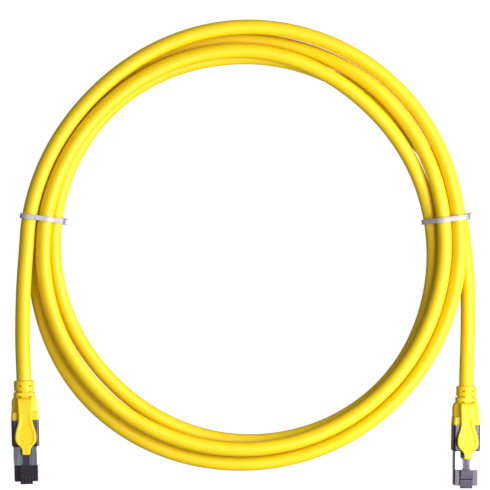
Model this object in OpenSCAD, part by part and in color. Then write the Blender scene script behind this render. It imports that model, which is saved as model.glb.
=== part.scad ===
// Shielded 8P8C patch cable, coiled for storage and held by two ties.
// The surface it lies on is z = 0. The two plugs point towards -Y.

/* [Cable] */
// Outer diameter of the jacket
cable_d = 7.3; // [6.8:0.1:7.5]
// Clear space kept between neighbouring strands of the coil
strand_gap = 0.5; // [0.41:0.01:0.6]
// Radius of the coil's outermost lane, to the middle of the strand
coil_r = 108.2; // [106:0.1:110]
// Diameter of one insulated wire
wire_d = 0.88; // [0.8:0.01:0.9]
// Wall of the foil round a pair of wires
foil_t = 0.07; // [0.05:0.01:0.08]
// Thickness of the braid
braid_t = 0.25; // [0.15:0.05:0.3]

/* [Ties] */
// Width of a tie's strap
tie_w = 2.5; // [2:0.1:3.5]
// Thickness of a tie's strap
tie_t = 1; // [0.7:0.1:1.3]
// Space between a strap and the strands that it holds
tie_clear = 0.4; // [0.3:0.05:0.5]
// Length of a tie's head round the bundle
tie_head_l = 4.4; // [3.5:0.1:6]
// Depth of a tie's head, outwards from the strap
tie_head_t = 1.7; // [1:0.1:3]
// Width of a tie's head, along the cable
tie_head_w = 3.6; // [2.8:0.1:5]
// Height of the left tie's head over the surface
tie_left_head_z = 2.7; // [2:0.1:4]
// Height of the right tie's head over the surface
tie_right_head_z = 4.6; // [3.5:0.1:6]

/* [Plug front] */
// Width of the nose
nose_w = 11.68; // [11.3:0.01:11.8]
// Height of the nose
nose_h = 6.6; // [6.2:0.1:6.8]
// Length of the nose in front of the shield
nose_len = 8; // [7.5:0.1:9]
// Height of the nose's underside over the surface
nose_z = 1.2; // [1:0.1:1.4]
// Length of the shield that shows between the nose and the collar
shield_len = 9.2; // [8:0.1:11]
// Wall of the shield
shield_t = 0.3; // [0.2:0.05:0.4]
// How far the shield stands out past the nose, all round
shield_proud = 0.11; // [0.05:0.01:0.2]
// Distance between neighbouring contacts
contact_pitch = 1.02; // [1:0.01:1.04]
// Thickness of a contact blade
contact_t = 0.35; // [0.3:0.01:0.4]

/* [Collar] */
// Length of the collar
collar_len = 13.3; // [12:0.1:15]
// Width of the collar and of the front of the boot's band
collar_w = 13.5; // [13.3:0.1:14]
// Height of the collar and of the boot's band
collar_h = 9.3; // [9.2:0.1:10]
// Radius of the collar's two front corners, seen from above
collar_corner_r = 1; // [0.4:0.1:2]
// Radius of the collar's and the band's long edges
collar_edge_r = 1.1; // [0.5:0.1:1.5]
// Thickness of the collar's rear wall
collar_rear_t = 1; // [0.6:0.1:1.5]

/* [Boot] */
// Length of the band behind the collar
band_len = 3.8; // [3:0.1:5]
// Width of the band's rear end
band_rear_w = 13.1; // [12.9:0.1:13.3]
// Length of the boot's body behind the band
body_len = 7.3; // [6:0.1:9]
// Width of the boot's body
body_w = 12.7; // [12:0.1:12.8]
// Width of the body's rear end
body_rear_w = 11.7; // [11:0.1:12]
// How far the body's flat top lies below the band's top
body_drop = 0.6; // [0.3:0.1:0.9]
// How far the body's straight sides end below the band's top
body_side_drop = 2.9; // [2:0.1:3.5]
// Wall of the strain relief between its rings
relief_wall = 0.7; // [0.5:0.1:0.8]
// Height of the two rear rings over that wall
ring_rise = 0.6; // [0.3:0.1:0.8]
// Length of one rear ring
ring_len = 2.3; // [2:0.1:2.6]
// Length of the front ring
front_ring_len = 1.8; // [1.5:0.1:2.4]
// Width of the front ring
front_ring_w = 10.5; // [10:0.1:11]
// Length of the slotted neck in front of the front ring
neck_len = 0.6; // [0.5:0.1:1.2]
// Length of the notch behind the front ring
notch_len = 0.8; // [0.6:0.1:1.2]
// Length of the slots between the two rear rings
groove_len = 0.4; // [0.3:0.1:0.6]
// Bevel round the end of the last ring
end_bevel = 0.5; // [0.3:0.05:0.55]

/* [Latch] */
// Width of the latch from its root to its locking step
latch_w = 6.1; // [5.8:0.1:6.3]
// Width of the latch's narrow arm
latch_arm_w = 3.25; // [3:0.05:3.5]
// Width of the pad at the latch's free end
latch_pad_w = 5.2; // [4:0.1:5.8]
// Thickness of the latch
latch_t = 1; // [0.8:0.1:1.1]
// How far the latch's root stands out in front of the nose
latch_nose = 1.15; // [0.8:0.05:1.4]
// Length of the latch behind its hinge
latch_len = 15.8; // [15:0.1:16]
// Slope of the latch at rest, in degrees
latch_slope = 11; // [10.5:0.1:11.5]

/* [Lever] */
// Thickness of the release lever
lever_t = 1.5; // [1.2:0.1:1.8]
// Greatest width of the lever's leaf
lever_leaf_w = 10.5; // [9:0.1:12]
// Width of the lever's neck, of its root and of the pad on the boot
lever_root_w = 6.4; // [5.5:0.1:7]
// Width of the lever's tip
lever_tip_w = 4.1; // [3.5:0.1:5]
// Slope of the lever at rest, in degrees
lever_slope = 9.5; // [9:0.1:10]
// Width of the lever's raised rim
lever_rim = 1.5; // [1:0.1:2]
// Depth of the lever's face below its rim
lever_sink = 0.25; // [0.1:0.05:0.4]

/* [Hidden] */
// How two pieces that are assembled by hand fit, on each side
fit = 0.05;
// Space round a hinge knuckle
hinge_gap = 0.3;
// Facets of round pieces, of a rounded corner and along the lever's edge
$fn = 48;
corner_steps = 5;
edge_steps = 32;
// A cut reaches this far past the face that it opens
past = 0.5;

// Stations along a plug, from the nose's face (0) to the end of the boot
y_shield = nose_len;
y_collar = y_shield + shield_len;
y_band = y_collar + collar_len;
y_body = y_band + band_len;
y_neck = y_body + body_len;
y_ring_front = y_neck + neck_len;
y_ring_mid = y_ring_front + front_ring_len + notch_len;
y_ring_rear = y_ring_mid + ring_len + groove_len;
y_end = y_ring_rear + ring_len;

// Heights on a plug
relief_d = cable_d + 2 * fit + 2 * relief_wall;
ring_d = relief_d + 2 * ring_rise;
axis_z = ring_d / 2;
nose_top = nose_z + nose_h;

// The core of the housing, inside the shield
shield_w = nose_w + 2 * shield_proud;
shield_h = nose_h + 2 * shield_proud;
shield_in = 3.8;
core_w = shield_w - 2 * shield_t - 2 * fit;
core_h = shield_h - 2 * shield_t - 2 * fit;
core_z = nose_z - shield_proud + shield_t + fit;
y_core_end = y_collar + shield_in;

// Wires, foils and braid
wire_z = axis_z;
wire_y = 2.6;
wire_pocket = 0.2;
fan_start = 13.2;
fan_end = 20.5;
foil_back = 0.6;
pair_bore = 2 * wire_d + 2 * fit;
foil_d = pair_bore + 2 * foil_t;
pair_off = (foil_d + fit) / sqrt(2);
bundle_d = 2 * pair_off + foil_d + 2 * fit;
braid_d = bundle_d + 2 * braid_t;
braid_y = 23;
ferrule_y = 24.5;
ferrule_t = 0.45;
ferrule_bore = braid_d + 2 * fit;
ferrule_d = ferrule_bore + 2 * ferrule_t;
jacket_back = 0.6;
jacket_y = y_band + jacket_back;
jacket_bore = braid_d + 2 * fit;
// For each contact: sideways place of its pair and height of its pair, in pair offsets,
// and the side of the pair that it takes
wire_ends = [[-1, 0, -1], [-1, 0, 1], [0, -1, -1], [0, 1, -1], [0, 1, 1], [0, -1, 1], [1, 0, -1], [1, 0, 1]];
pair_places = [[-1, 0], [0, -1], [0, 1], [1, 0]];

// The channel over the contacts, the wire manager and its bay
channel_h = wire_d + 2 * fit;
channel_w = 7 * contact_pitch + channel_h;
bay_w = 9.6;
bay_h = 2 * pair_off + wire_d + 4 * fit;
bay_y = 9.2;
manager_len = 3.4;
manager_fit = 0.1;

// Contacts and their slots
slot_w = contact_t + 0.25;
slot_len = 7.3;
blade_y = 0.9;
blade_len = 6;
blade_sink = 0.45;
blade_top = nose_z + 2.6;
tooth_top = wire_z - wire_d / 2 - fit;
tooth_len = 0.6;
tooth_places = [2.3, 4.1];

// Latch: its hinge, its raised front block and its plan
latch_hinge = [0.8, nose_top + 0.1];
latch_knuckle_r = 0.7;
latch_lift = 0.1;
latch_block_len = 2.6;
latch_block_rise = 0.4;
latch_block_drop = 0.4;
latch_step = 7.1;
latch_step_len = 0.6;
latch_pad_len = 2.4;
latch_flare = 1;
rib_gap_w = 0.55;
rib_gap_pitch = 1.6;

// Lever: its hinge and its outline as half widths at distances in front of the hinge
lever_hinge = [y_band + 2.5, collar_h + 1];
lever_knuckle_r = 0.9;
lever_drop = 0.6;
lever_len = 19.6;
lever_tip_r = 0.8;
lever_stations = [
    [0, lever_root_w / 2], [2.5, lever_root_w / 2 + 0.1], [7.4, lever_leaf_w / 2 - 0.65],
    [11, lever_leaf_w / 2], [12.7, lever_leaf_w / 2 - 0.15], [14.2, lever_leaf_w / 2 - 1],
    [15.6, lever_tip_w / 2 + 1.1], [17, lever_tip_w / 2 + 0.15], [lever_len, lever_tip_w / 2]
];
lever_face = [3, 14.6];
pad_w = lever_root_w + 0.2;
pad_top = lever_hinge[1] + lever_t - lever_drop;
pad_slope_len = 1.6;

// Middle of the coil
coil_centre = [-0.2, 93.9];

// Route of the cable's free ends, each from its plug to the coil: how far it lies outside the
// coil's outermost lane, then y and z
tail_a_steps = [
    [2.44, 27.05, 5], [2.68, 33.9, 5], [2.97, 40.9, 5.5], [3.16, 47.9, 7.1], [3.21, 54.9, 9.3],
    [3.13, 62.4, 11.3], [2.9, 70.9, 12.5], [2.45, 79.3, 12.7], [1.9, 86.6, 12.7]
];
tail_b_steps = [
    [2.64, 23.44, 5], [2.8, 30.9, 5], [3.07, 37.9, 4.8], [3.4, 45.9, 4.4], [3.6, 53.9, 4.2],
    [3.62, 62.4, 4.4], [3.45, 70.9, 4.8], [3.05, 79.3, 4.95], [2.5, 86.6, 4.95]
];
tail_a_route = [for (p = tail_a_steps) [coil_centre[0] - coil_r - p[0], p[1], p[2]]];
tail_b_route = [for (p = tail_b_steps) [coil_centre[0] + coil_r + p[0], p[1], p[2]]];

// Where the cable leaves each plug, and how far the plug is turned in degrees
plugs = [["a", tail_a_route[0], 1.5], ["b", tail_b_route[0], -0.75]];

// The coil is laid clockwise from the left free end to the right one, in three and a half turns.
// Lane of the strand at every eighth of a turn: 0 is outermost, 1 is one strand further in
coil_from = -90;
coil_to = 1170;
station_step = 45;
coil_lanes = [
    -0.17, 0.19,
    -0.05, -0.04, 0.25, 0.14, -0.06, -0.19, 0.38, 0.57,
    0.8, 0.97, 1.26, 1.24, 1.03, 0.7, 0.87, 1.25,
    1.48, 2.07, 1.79, 1.24, 1.35, 1.66, 1.57, 1.57,
    1.81, 1.63, -0.2
];
// Layer of the strand at the same places: 0 lies on the surface, 1 lies on the other strands
coil_layers = [
    1, 1,
    1, 1, 1, 0.5, 0, 0, 0, 0,
    0, 1, 1, 1, 1, 1, 1, 1,
    1, 1, 0, 0, 0, 0, 0, 0,
    0, 0, 0
];
// Lane that the strand comes from before its first station
lane_before = -0.4;
strand_pitch = cable_d + strand_gap;
coil_sides = 6;
tail_sides = 8;
wire_sides = 6;
rings_per_loop = 24;
tie_angles = [-82.5, 82.5];
// The strands are raised over the ties' straps, and come down again over this angle
tie_raise = tie_t + tie_clear;
raise_flat = 10;
raise_ease = 25;

plug_parts = [
    "plug_housing", "latch", "contacts", "wire_manager", "wires", "pair_foils", "front_shield",
    "collar", "braid", "ferrule", "boot", "release_lever", "jacket_end"
];

// ---- Outlines ----

function rounded_rect(w, h, r) = [
    for (q = [0:3], k = [0:corner_steps])
        let (a = 90 * (q + k / corner_steps))
        [
            (q == 0 || q == 3 ? 1 : -1) * (w / 2 - r) + r * cos(a),
            (q < 2 ? 1 : -1) * (h / 2 - r) + r * sin(a)
        ]
];

// A plan outline, along y from 0 to len, with round corners at its front
function round_fronted(w, len, r) = concat(
    [[w / 2, len], [-w / 2, len]],
    [for (k = [0:corner_steps]) let (a = 180 + 90 * k / corner_steps)
        [-w / 2 + r + r * cos(a), r + r * sin(a)]],
    [for (k = [0:corner_steps]) let (a = 270 + 90 * k / corner_steps)
        [w / 2 - r + r * cos(a), r + r * sin(a)]]
);

// Catmull-Rom value between b and c
function spline(a, b, c, d, t) =
    0.5 * (2 * b + (c - a) * t + (2 * a - 5 * b + 4 * c - d) * t * t + (3 * b - a - 3 * c + d) * t * t * t);

// Extrudes an outline that is drawn across a plug (x, z) from y0 to y1
module along(y0, y1) {
    translate([0, y1, 0]) rotate([90, 0, 0]) linear_extrude(y1 - y0) children();
}

// Extrudes an outline that is drawn from the side (y, z) over a width
module across(w) {
    rotate([90, 0, 90]) linear_extrude(w, center = true) children();
}

module tube_y(d, bore, y0, y1) {
    translate([0, y0, 0]) rotate([-90, 0, 0]) difference() {
        cylinder(d = d, h = y1 - y0);
        translate([0, 0, -past]) cylinder(d = bore, h = y1 - y0 + 2 * past);
    }
}

module rod_y(d, y0, y1) {
    translate([0, y0, 0]) rotate([-90, 0, 0]) cylinder(d = d, h = y1 - y0);
}

// ---- Plug ----

module at_plug(plug) {
    translate([plug[1][0], plug[1][1], 0]) rotate([0, 0, plug[2]]) translate([0, -y_end, 0]) children();
}

function contact_x(k) = (k - 3.5) * contact_pitch;

module plug_housing() {
    nose_edge = 0.35;
    nose_corner = 0.6;
    latch_cut = latch_knuckle_r + hinge_gap;
    // The latch's front block slopes down this far below its hinge
    block_dip = 0.2;
    block_floor = latch_hinge[1] - latch_block_drop - block_dip - hinge_gap;
    color([0.22, 0.21, 0.24, 0.8])
    difference() {
        union() {
            intersection() {
                along(0, nose_len)
                    translate([0, nose_z + nose_h / 2]) polygon(rounded_rect(nose_w, nose_h, nose_edge));
                linear_extrude(nose_top + 1) polygon(round_fronted(nose_w, nose_len, nose_corner));
            }
            along(nose_len - past, y_core_end)
                translate([0, core_z + core_h / 2]) polygon(rounded_rect(core_w, core_h, nose_edge));
        }
        for (k = [0:7]) translate([contact_x(k) - slot_w / 2, -past, nose_z - past])
            cube([slot_w, slot_len + past, wire_z - nose_z + past]);
        // Flat channel that holds the eight wires side by side
        translate([-channel_w / 2, wire_y - wire_pocket, wire_z - channel_h / 2])
            cube([channel_w, bay_y + past - wire_y + wire_pocket, channel_h]);
        translate([-bay_w / 2, bay_y, wire_z - bay_h / 2]) cube([bay_w, y_core_end - bay_y + past, bay_h]);
        translate([0, latch_hinge[0], latch_hinge[1]]) rotate([0, 90, 0])
            cylinder(r = latch_cut, h = latch_w + 2 * hinge_gap, center = true);
        translate([-latch_w / 2 - hinge_gap, -past, block_floor])
            cube([latch_w + 2 * hinge_gap, latch_hinge[0] + past, nose_h]);
    }
}

module contacts() {
    corner = 0.5;
    blade = [
        [0, nose_z + blade_sink + corner], [corner, nose_z + blade_sink],
        [blade_len, nose_z + blade_sink], [blade_len, blade_top], [0, blade_top]
    ];
    color([0.85, 0.68, 0.3])
    for (k = [0:7]) translate([contact_x(k), blade_y, 0]) {
        across(contact_t) polygon(blade);
        for (place = tooth_places)
            translate([-contact_t / 2, place, blade_top - past])
                cube([contact_t, tooth_len, tooth_top - blade_top + past]);
    }
}

module wire_manager() {
    color([0.8, 0.8, 0.76])
    translate([0, 0, wire_z])
    difference() {
        translate([-bay_w / 2 + manager_fit, bay_y + manager_fit, -bay_h / 2 + manager_fit])
            cube([bay_w - 2 * manager_fit, manager_len, bay_h - 2 * manager_fit]);
        for (k = [0:7]) translate([contact_x(k), 0, 0])
            rod_y(channel_h, bay_y - past, bay_y + manager_len + 2 * past);
    }
}

module wires() {
    color([0.85, 0.85, 0.8])
    for (k = [0:7]) {
        end = wire_ends[k];
        pair_x = end[0] * pair_off + end[2] * (wire_d + fit) / 2;
        pair_z = axis_z + end[1] * pair_off;
        swept([
            [contact_x(k), wire_y, wire_z], [contact_x(k), fan_start, wire_z],
            [pair_x, fan_end, pair_z], [pair_x, y_end, pair_z]
        ], wire_d, wire_sides);
    }
}

module pair_foils() {
    foil_y = fan_end + foil_back;
    color([0.8, 0.8, 0.82])
    for (place = pair_places)
        translate([place[0] * pair_off, 0, axis_z + place[1] * pair_off])
            tube_y(foil_d, pair_bore, foil_y, y_end);
}

module front_shield() {
    edge = 0.5;
    color([0.72, 0.74, 0.78])
    translate([0, 0, nose_z + nose_h / 2])
    difference() {
        along(y_shield, y_core_end) polygon(rounded_rect(shield_w, shield_h, edge));
        along(y_shield - past, y_core_end + past)
            polygon(rounded_rect(shield_w - 2 * shield_t, shield_h - 2 * shield_t, edge - shield_t));
    }
}

module collar() {
    cavity_corner = 0.4;
    cavity_w = shield_w + 2 * fit;
    cavity_h = shield_h + 2 * fit;
    color([0.3, 0.27, 0.28, 0.85])
    difference() {
        intersection() {
            along(y_collar, y_band)
                translate([0, collar_h / 2]) polygon(rounded_rect(collar_w, collar_h, collar_edge_r));
            translate([0, y_collar, 0]) linear_extrude(collar_h)
                polygon(round_fronted(collar_w, collar_len, collar_corner_r));
        }
        along(y_collar - past, y_band - collar_rear_t)
            translate([0, nose_z + nose_h / 2]) polygon(rounded_rect(cavity_w, cavity_h, cavity_corner));
        translate([0, 0, axis_z]) rod_y(ferrule_d + 2 * fit, y_collar, y_band + past);
    }
}

module braid() {
    color([0.62, 0.6, 0.58])
    translate([0, 0, axis_z]) tube_y(braid_d, bundle_d, braid_y, y_end);
}

module ferrule() {
    color([0.7, 0.7, 0.72])
    translate([0, 0, axis_z]) tube_y(ferrule_d, ferrule_bore, ferrule_y, y_band - fit);
}

module jacket_end() {
    color([0.95, 0.8, 0.12])
    translate([0, 0, axis_z]) tube_y(cable_d, jacket_bore, jacket_y, y_end);
}

// Section of the boot's body: straight sides, sloping shoulders and a flat underside
function body_section() =
    let (foot = 0.8, floor_z = 0.3, side_top = collar_h - body_side_drop, shoulder = collar_h - body_drop,
        half = body_w / 2, in = lever_root_w / 2 - 0.3)
    [
        [-half + foot, floor_z], [half - foot, floor_z], [half, floor_z + foot], [half, side_top],
        [in, shoulder], [-in, shoulder], [-half, side_top], [-half, floor_z + foot]
    ];

module boot_body() {
    taper = 2.2;
    half = body_w / 2;
    rear = body_rear_w / 2;
    bend = half - 0.4 * (half - rear);
    plan = [
        [-half, y_body - past], [half, y_body - past], [half, y_neck - taper], [bend, y_neck - taper / 2],
        [rear, y_neck], [-rear, y_neck], [-bend, y_neck - taper / 2], [-half, y_neck - taper]
    ];
    intersection() {
        along(y_body - past, y_neck) polygon(body_section());
        linear_extrude(collar_h) polygon(plan);
    }
}

// The raised pad behind the lever's root
module boot_pad() {
    pad_rear = y_neck;
    pad_drop = 1.4;
    pad_floor = collar_h - body_drop - 2 * past;
    pad = [
        [lever_hinge[0], pad_floor], [pad_rear, pad_floor], [pad_rear, pad_top - pad_drop],
        [pad_rear - pad_slope_len, pad_top], [lever_hinge[0], pad_top]
    ];
    across(pad_w) polygon(pad);
}

module boot_band() {
    front = collar_w / 2;
    rear = band_rear_w / 2;
    intersection() {
        along(y_band, y_body)
            translate([0, collar_h / 2]) polygon(rounded_rect(collar_w, collar_h, collar_edge_r));
        linear_extrude(collar_h) polygon([[-front, y_band], [front, y_band], [rear, y_body], [-rear, y_body]]);
    }
}

// Slots over the top and under the bottom, down to the wall, on both sides of the ridge
module relief_slots(y, len, slot_in) {
    slot_w = 2.1;
    difference() {
        for (x = [-slot_in - slot_w, slot_in])
            translate([x, y, -ring_d]) cube([slot_w, len, 2 * ring_d]);
        rod_y(relief_d, y_neck - 2 * past, y_end);
    }
}

module strain_relief() {
    ridge_w = 3;
    ridge_sink = 0.35;
    ridge_short = 1;
    front_corner = 3.6;
    translate([0, 0, axis_z]) difference() {
        union() {
            rod_y(relief_d, y_neck - past, y_end);
            rod_y(ring_d, y_ring_mid, y_end - end_bevel);
            translate([0, y_end - end_bevel, 0]) rotate([-90, 0, 0])
                cylinder(d1 = ring_d, d2 = ring_d - 2 * end_bevel, h = end_bevel);
            along(y_neck - fit, y_ring_front + front_ring_len)
                polygon(rounded_rect(front_ring_w, ring_d - 2 * fit, front_corner));
            // Ridge that joins the rings over the top and under the bottom
            translate([-ridge_w / 2, y_neck - fit, -ring_d / 2 + ridge_sink])
                cube([ridge_w, y_end - y_neck - ridge_short, ring_d - 2 * ridge_sink]);
        }
        relief_slots(y_neck - past, neck_len + past, ridge_w / 2);
        relief_slots(y_ring_rear - groove_len, groove_len, ridge_w / 2);
    }
}

module boot() {
    color([0.95, 0.8, 0.1])
    difference() {
        union() {
            boot_band();
            boot_body();
            boot_pad();
            strain_relief();
        }
        translate([0, 0, axis_z]) rod_y(cable_d + 2 * fit, y_band - past, y_end + past);
        // Socket round the lever's knuckle
        translate([0, lever_hinge[0], lever_hinge[1]]) rotate([0, 90, 0])
            cylinder(r = lever_knuckle_r + hinge_gap, h = collar_w + 2 * past, center = true);
    }
}

// The latch at rest: y runs back from its hinge along the arm
module latch() {
    front = latch_hinge[0] + latch_nose;
    corner = 0.5;
    arm_top = latch_lift + latch_t;
    block_top = arm_top + latch_block_rise;
    side = [
        [-front, -latch_block_drop + corner], [-front + corner, -latch_block_drop], [0, -latch_block_drop],
        [latch_knuckle_r, latch_lift], [latch_len, latch_lift], [latch_len, arm_top],
        [latch_block_len + corner, arm_top], [latch_block_len, block_top],
        [-front + corner, block_top], [-front, block_top - corner]
    ];
    wide = latch_w / 2;
    arm = latch_arm_w / 2;
    pad = latch_pad_w / 2;
    pad_y = latch_len - latch_pad_len;
    step_y = latch_step + latch_step_len;
    right = [
        [wide, -front], [wide, latch_step], [arm, step_y], [arm, pad_y - latch_flare], [pad, pad_y],
        [pad, latch_len]
    ];
    left = [for (k = [len(right) - 1:-1:0]) [-right[k][0], right[k][1]]];
    color([0.16, 0.15, 0.18])
    translate([0, latch_hinge[0], latch_hinge[1]]) rotate([latch_slope, 0, 0])
    difference() {
        union() {
            intersection() {
                across(latch_w) polygon(side);
                linear_extrude(2 * latch_w, center = true) polygon(concat(right, left));
            }
            rotate([0, 90, 0]) cylinder(r = latch_knuckle_r, h = latch_w, center = true);
        }
        for (k = [-1:1]) translate([k * rib_gap_pitch - rib_gap_w / 2, -front - past, arm_top])
            cube([rib_gap_w, latch_block_len + front, latch_block_rise + past]);
    }
}

// Half width of the lever at a distance in front of its hinge
function lever_half(s) =
    let (
        n = len(lever_stations),
        k = max([for (i = [0:n - 2]) if (lever_stations[i][0] <= s) i]),
        t = (s - lever_stations[k][0]) / (lever_stations[k + 1][0] - lever_stations[k][0])
    )
    spline(
        lever_stations[max(k - 1, 0)][1], lever_stations[k][1],
        lever_stations[k + 1][1], lever_stations[min(k + 2, n - 1)][1], t
    );

// Both edges of the lever between two distances, drawn in by a margin
function lever_outline(from, to, margin, steps) = concat(
    [for (i = [0:steps]) let (s = from + (to - from) * i / steps) [lever_half(s) - margin, -s]],
    [for (i = [steps:-1:0]) let (s = from + (to - from) * i / steps) [-lever_half(s) + margin, -s]]
);

// The lever at rest: -y runs forward from its hinge
module release_lever() {
    corner = 0.5;
    side = [
        [-lever_len, -lever_drop + corner], [-lever_len + corner, -lever_drop], [0, -lever_drop],
        [0, lever_t - lever_drop], [-lever_len + lever_tip_r, lever_t - lever_drop],
        [-lever_len, lever_t - lever_drop - lever_tip_r]
    ];
    color([0.97, 0.83, 0.12])
    translate([0, lever_hinge[0], lever_hinge[1]]) rotate([-lever_slope, 0, 0])
    difference() {
        union() {
            intersection() {
                across(2 * lever_leaf_w) polygon(side);
                linear_extrude(4 * lever_t, center = true) polygon(lever_outline(0, lever_len, 0, edge_steps));
            }
            rotate([0, 90, 0]) cylinder(r = lever_knuckle_r, h = lever_root_w, center = true);
        }
        translate([0, 0, lever_t - lever_drop - lever_sink]) linear_extrude(lever_t)
            polygon(lever_outline(lever_face[0], lever_face[1], lever_rim, edge_steps / 2));
    }
}

// ---- Cable ----

function unit(v) = v / norm(v);

// Direction of a route at one of its points
function heading(route, i) =
    unit(route[min(i + 1, len(route) - 1)] - route[max(i - 1, 0)]);

function ring_at(p, dir, d, sides) =
    let (out = unit(cross(dir, [0, 0, 1])), up = cross(out, dir))
    [for (k = [0:sides - 1]) let (a = 360 * k / sides) p + d / 2 * (cos(a) * out + sin(a) * up)];

// One solid round bar along a route, a ring at each point and flat ends. Where it meets another
// bar, both ends face along the same direction
module swept(route, d, sides, first_dir, last_dir) {
    n = len(route);
    headings = [for (i = [0:n - 1])
        i == 0 && first_dir != undef ? first_dir : i == n - 1 && last_dir != undef ? last_dir : heading(route, i)];
    points = [for (i = [0:n - 1]) each ring_at(route[i], headings[i], d, sides)];
    skin = [
        for (i = [0:n - 2], k = [0:sides - 1])
            let (a = i * sides + k, b = i * sides + (k + 1) % sides, c = a + sides, d = b + sides)
            each [[a, c, b], [b, c, d]]
    ];
    first = [for (k = [1:sides - 2]) [0, k, k + 1]];
    end = (n - 1) * sides;
    last = [for (k = [1:sides - 2]) [end, end + k + 1, end + k]];
    polyhedron(points, concat(skin, first, last));
}

function station(list, k, before) = k < 0 ? before : list[min(k, len(list) - 1)];

// Lane and layer of the coil's strand at an angle that grows clockwise from the top
function coil_lane(a) =
    let (k = min(floor((a - coil_from) / station_step), len(coil_lanes) - 2),
        t = (a - coil_from) / station_step - k)
    spline(
        station(coil_lanes, k - 1, lane_before), coil_lanes[k], coil_lanes[k + 1],
        station(coil_lanes, k + 2, 0), t
    );

function coil_layer(a) =
    let (k = min(floor((a - coil_from) / station_step), len(coil_layers) - 2),
        t = (a - coil_from) / station_step - k)
    coil_layers[k] + (coil_layers[k + 1] - coil_layers[k]) * (1 - cos(180 * t)) / 2;

// Angle between a place on the coil and the nearer tie
function tie_away(a) = min([for (tie = tie_angles) abs(((a - tie + 180) % 360 + 360) % 360 - 180)]);

function coil_raise(a) =
    let (t = max(0, min(1, (tie_away(a) - raise_flat) / raise_ease)))
    tie_raise * (1 + cos(180 * t)) / 2;

// Distance from the coil's centre and height, at an angle
function strand_place(a) = [
    coil_r - coil_lane(a) * strand_pitch,
    cable_d / 2 + coil_layer(a) * strand_pitch + coil_raise(a)
];

function coil_point(a) =
    let (place = strand_place(a))
    [coil_centre[0] + place[0] * sin(a), coil_centre[1] + place[0] * cos(a), place[1]];

ring_step = 360 / rings_per_loop;
coil_angles = concat([coil_from], [for (a = [tie_angles[0]:ring_step:coil_to]) a], [coil_to]);
last_a = len(tail_a_route) - 1;
last_b = len(tail_b_route) - 1;
coil_route = concat([tail_a_route[last_a]], [for (a = coil_angles) coil_point(a)], [tail_b_route[last_b]]);
join_a_dir = unit(coil_point(coil_from) - tail_a_route[last_a - 1]);
join_b_dir = unit(tail_b_route[last_b - 1] - coil_point(coil_to));
function plug_axis(plug) = [-sin(plug[2]), cos(plug[2]), 0];

function route_length(route) = len(route) < 2 ? 0 :
    let (steps = [for (i = [1:len(route) - 1]) norm(route[i] - route[i - 1])])
    steps * [for (s = steps) 1];

module cable_tail_a() {
    color([0.95, 0.8, 0.12]) swept(tail_a_route, cable_d, tail_sides, plug_axis(plugs[0]), join_a_dir);
}

module cable_tail_b() {
    color([0.95, 0.8, 0.12]) swept(tail_b_route, cable_d, tail_sides, plug_axis(plugs[1]), -join_b_dir);
}

module cable_coil() {
    probe_step = 5;
    probes = [for (a = [coil_from:probe_step:coil_to]) coil_point(a)];
    half_turn = 180 / probe_step;
    least = min([
        for (i = [0:len(probes) - 1 - half_turn])
            min([for (j = [i + half_turn:len(probes) - 1]) norm(probes[i] - probes[j])])
    ]);
    echo(least_gap_mm = least - cable_d, cable_length_mm = route_length(tail_a_route)
        + route_length(probes) + 2 * cable_d + route_length(tail_b_route));
    color([0.95, 0.8, 0.12]) swept(coil_route, cable_d, coil_sides, join_a_dir, join_b_dir);
}

// ---- Ties ----

// Places of the four strands that a tie holds, outwards from the coil's centre and upwards
function held_strands(tie) = [
    for (turn = [0:3]) if (tie + 360 * turn <= coil_to) strand_place(tie + 360 * turn)
];

strap_sides = 32;

module strand_hull(tie, grow) {
    hull() for (place = held_strands(tie)) translate(place) circle(cable_d / 2 + grow, $fn = strap_sides);
}

// A strap round the strands, with its head on the outer side (1) or the inner side (-1)
module tie(angle, side, head_z) {
    places = held_strands(angle);
    reach = side > 0 ? max([for (p = places) p[0]]) : min([for (p = places) p[0]]);
    inner = reach + side * (cable_d / 2 + tie_clear);
    outer = inner + side * (tie_t + tie_head_t);
    stub_len = 0.9;
    stub_in = 0.3;
    color([0.9, 0.9, 0.93, 0.8])
    translate([coil_centre[0], coil_centre[1], 0]) rotate([0, 0, 90 - angle]) rotate([90, 0, 0]) {
        linear_extrude(tie_w, center = true) difference() {
            strand_hull(angle, tie_clear + tie_t);
            strand_hull(angle, tie_clear);
        }
        translate([min(inner, outer), head_z, -tie_head_w / 2])
            cube([abs(outer - inner), tie_head_l, tie_head_w]);
        // The strap's cut end, which stands out of the head
        translate([outer - side * (tie_head_t - stub_in) - tie_t / 2, head_z + tie_head_l - past, -tie_w / 2])
            cube([tie_t, stub_len + past, tie_w]);
    }
}

module tie_left() {
    tie(tie_angles[0], -1, tie_left_head_z);
}

module tie_right() {
    tie(tie_angles[1], 1, tie_right_head_z);
}

for (plug = plugs) at_plug(plug) {
    plug_housing();
    latch();
    contacts();
    wire_manager();
    wires();
    pair_foils();
    front_shield();
    collar();
    braid();
    ferrule();
    boot();
    release_lever();
    jacket_end();
}
cable_tail_a();
cable_coil();
cable_tail_b();
tie_left();
tie_right();
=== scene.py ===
import math

import bmesh
import bpy
from mathutils import Matrix, Vector


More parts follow.
